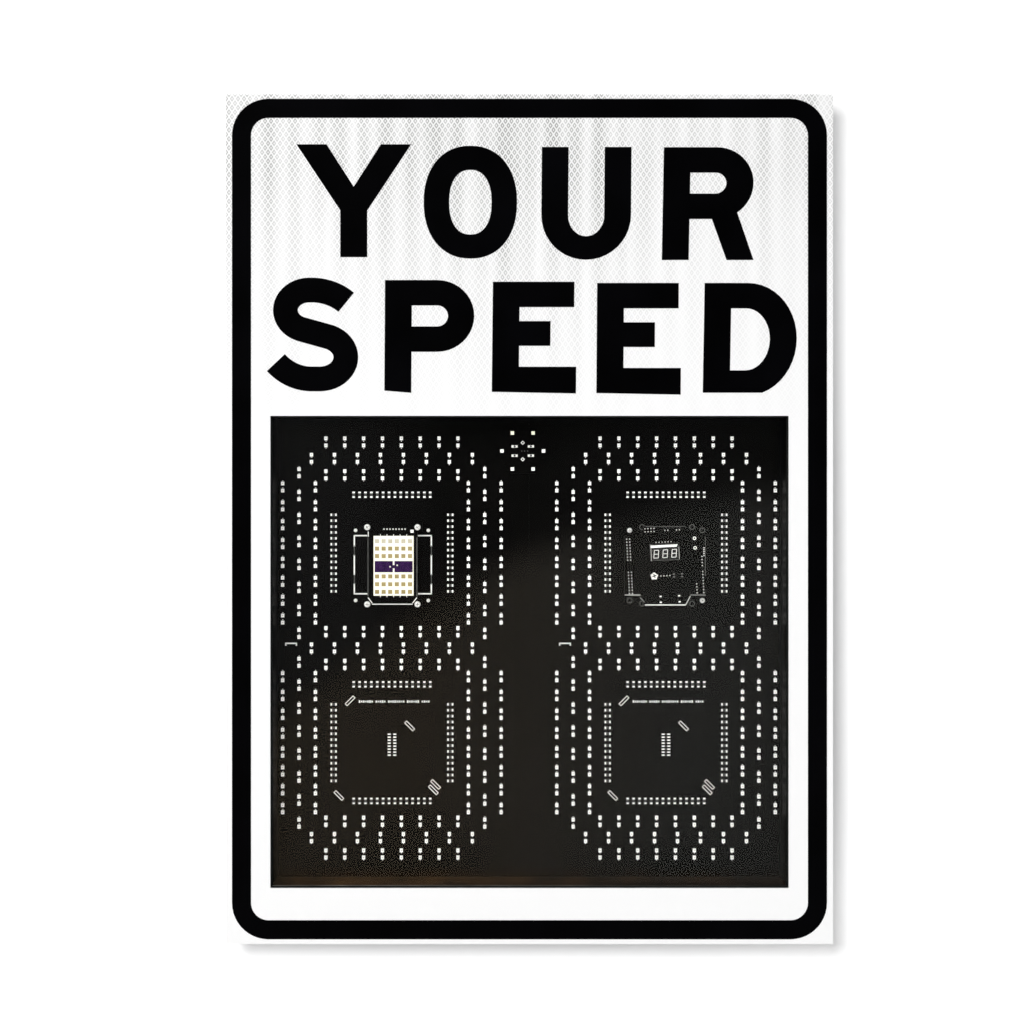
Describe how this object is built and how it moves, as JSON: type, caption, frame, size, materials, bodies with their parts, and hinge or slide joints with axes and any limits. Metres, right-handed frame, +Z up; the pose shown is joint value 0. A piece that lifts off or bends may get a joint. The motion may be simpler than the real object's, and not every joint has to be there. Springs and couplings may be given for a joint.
{
  "type": "radar speed sign",
  "caption": "Flat reflective road sign with a black border over a glazed cabinet of seven-segment LED digits, a strobe cluster and a radar module, on slotted mounting rails.",
  "frame": {"origin": "centre of the four rail slots, on the plane where the rails meet the post or wall", "axes": "+Z up, the sign's face looks along -Y, +X to the right of someone who reads the sign"},
  "size_m": [0.5, 0.1087, 0.7],
  "materials": {
    "bare_aluminium": "satin rolled sheet",
    "mill_aluminium": "mill finish",
    "white_sheeting": "prismatic retroreflective film",
    "black_film": "cut vinyl film",
    "black_rubber": "matte foam and rubber",
    "clear_pane": "clear polycarbonate",
    "glossy_black": "glossy black sheet",
    "grey_paint": "fine-texture powder coat",
    "black_nylon": "moulded nylon",
    "white_nylon": "moulded nylon",
    "plated_metal": "plated metal",
    "black_board": "black solder mask",
    "led_lens": "white moulded LED package",
    "chip_resistor": "ceramic chip with tinned ends",
    "cream_antenna": "ceramic-filled laminate with tinned patches",
    "display_window": "smoked display face"
  },
  "bodies": {
    "root": {"sign_panel": "bare_aluminium", "reflective_sheeting": "white_sheeting", "border_film": "black_film", "window_gasket": "black_rubber", "window_pane": "clear_pane", "window_shroud": "glossy_black", "cabinet": "grey_paint", "bonding_tape": "black_rubber", "rear_cover": "grey_paint", "cover_gasket": "black_rubber", "upper_rail": "mill_aluminium", "lower_rail": "mill_aluminium", "cable_gland": "black_nylon", "carrier_plate": "mill_aluminium", "carrier_standoffs": "plated_metal", "board_spacers": "plated_metal", "left_led_board": "black_board", "right_led_board": "black_board", "left_board_header": "black_nylon", "right_board_header": "black_nylon", "left_resistors": "chip_resistor", "right_resistors": "chip_resistor", "strobe_board": "black_board", "strobe_leds": "led_lens", "strobe_resistors": "chip_resistor", "radar_board": "black_board", "radar_antenna": "cream_antenna", "radar_shield_can": "plated_metal", "radar_header": "black_nylon", "radar_standoffs": "plated_metal", "controller_board": "black_board", "controller_headers": "black_nylon", "controller_standoffs": "plated_metal", "display_module": "display_window", "trim_knob": "white_nylon", "power_supply": "mill_aluminium", "terminal_block": "black_nylon", "left_top_leds": "led_lens", "left_middle_leds": "led_lens", "left_bottom_leds": "led_lens", "left_upper_left_leds": "led_lens", "left_upper_right_leds": "led_lens", "left_lower_left_leds": "led_lens", "left_lower_right_leds": "led_lens", "right_top_leds": "led_lens", "right_middle_leds": "led_lens", "right_bottom_leds": "led_lens", "right_upper_left_leds": "led_lens", "right_upper_right_leds": "led_lens", "right_lower_left_leds": "led_lens", "right_lower_right_leds": "led_lens"}
  },
  "joints": []
}
